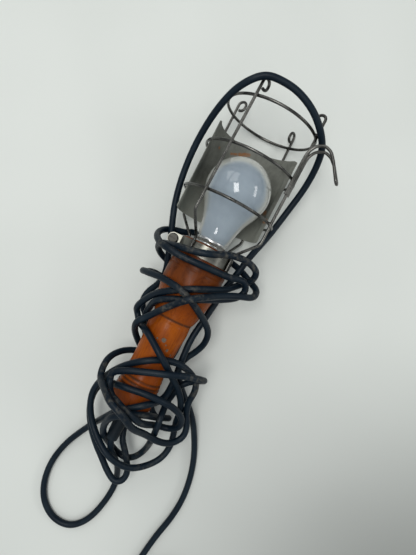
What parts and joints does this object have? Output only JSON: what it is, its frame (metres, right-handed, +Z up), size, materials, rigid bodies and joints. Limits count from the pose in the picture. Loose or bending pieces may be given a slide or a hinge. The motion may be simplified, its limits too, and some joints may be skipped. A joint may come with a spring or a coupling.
{
  "type": "inspection lamp",
  "caption": "Hand-held inspection lamp: turned wooden handle, opal bulb in a wire cage with half-round reflector and hanging hook, long rubber cord wound round it, two-pin plug.",
  "frame": {"origin": "on the table that the lamp lies on, under the middle of the lamp without its cord", "axes": "+Y along the lamp from the handle's butt to the tip of the cage, +X across it, +Z up"},
  "size_m": [0.214, 0.6359, 0.0976],
  "materials": {
    "wood": "varnished, worn",
    "sleeve_rubber": "matt",
    "cord_rubber": "matt, dusty",
    "plug_rubber": "matt",
    "brass": "dull",
    "wire": "dull, tarnished",
    "galvanised": "galvanised, spotted with rust",
    "band": "bright, stained",
    "screw_steel": "worn",
    "opal_glass": "opal, glossy",
    "clear_glass": "clear",
    "cap_metal": "bright",
    "cap_glass": "black vitrite",
    "tungsten": "drawn wire",
    "porcelain": "glazed porcelain",
    "fibre": "pressed fibre",
    "core_brown": "plastic",
    "core_blue": "plastic"
  },
  "bodies": {
    "lamp": {"handle": "wood", "cord_sleeve": "sleeve_rubber", "plug_relief": "sleeve_rubber", "cord_floor_loop": "cord_rubber", "cord_cage_loop": "cord_rubber", "cord_collar_lower_wrap": "cord_rubber", "cord_collar_middle_wrap": "cord_rubber", "cord_collar_upper_wrap": "cord_rubber", "cord_butt_ring": "cord_rubber", "cord_butt_hairpin": "cord_rubber", "cord_butt_arc": "cord_rubber", "cord_waist_wrap": "cord_rubber", "cord_tail": "cord_rubber", "cord_coil": "cord_rubber", "cord_plug_lead": "cord_rubber", "inner_cord": "cord_rubber", "plug_body": "plug_rubber", "plug_pins": "brass", "terminals": "brass", "centre_contact": "brass", "side_contact": "brass", "threaded_shell": "brass", "cage_wire_upper_left": "wire", "cage_wire_lower_left": "wire", "cage_wire_lower_right": "wire", "cage_wire_upper_right": "wire", "cage_ring_1": "wire", "cage_ring_2": "wire", "cage_ring_3": "wire", "hook": "wire", "clamp_band": "band", "clamp_nut": "screw_steel", "holder_screws": "screw_steel", "terminal_screws": "screw_steel", "cord_grip_screws": "screw_steel", "lampholder_body": "porcelain", "cord_grip": "fibre", "live_core": "core_brown", "neutral_core": "core_blue"},
    "bulb_seat": {"bulb_cap_contact": "cap_metal"},
    "bulb": {"bulb_glass": "opal_glass", "bulb_cap_shell": "cap_metal", "bulb_cap_insulator": "cap_glass", "bulb_stem": "clear_glass", "filament_wires": "tungsten", "filament": "tungsten"},
    "reflector": {"reflector": "galvanised"},
    "clamp_rise": {"clamp_washer": "screw_steel"},
    "clamp_screw": {"clamp_screw": "screw_steel"}
  },
  "joints": [
    {"name": "bulb_travel", "type": "slide", "parent": "lamp", "child": "bulb_seat", "axis": [0, 1, 0], "range_m": [0, 0.0199]},
    {"name": "bulb_turn", "type": "hinge", "parent": "bulb_seat", "child": "bulb", "pos_m": [-0.014, 0.07, 0.045], "axis": [0, 1, 0], "range_deg": [0, 1975]},
    {"name": "reflector_turn", "type": "hinge", "parent": "lamp", "child": "reflector", "pos_m": [-0.015, 0.078, 0.046], "axis": [0, 1, 0], "range_deg": [-4, 90]},
    {"name": "clamp_travel", "type": "slide", "parent": "lamp", "child": "clamp_rise", "axis": [0, 0, 1], "range_m": [0, 0.0016]},
    {"name": "clamp_turn", "type": "hinge", "parent": "clamp_rise", "child": "clamp_screw", "pos_m": [-0.0472, 0.0041, 0], "axis": [0, 0, 1], "range_deg": [0, 720]}
  ],
  "couplings": [
    {"joint": "bulb_turn", "follows": "bulb_travel", "rad_per_m": 1731.3},
    {"joint": "clamp_turn", "follows": "clamp_travel", "rad_per_m": 7853.9}
  ]
}
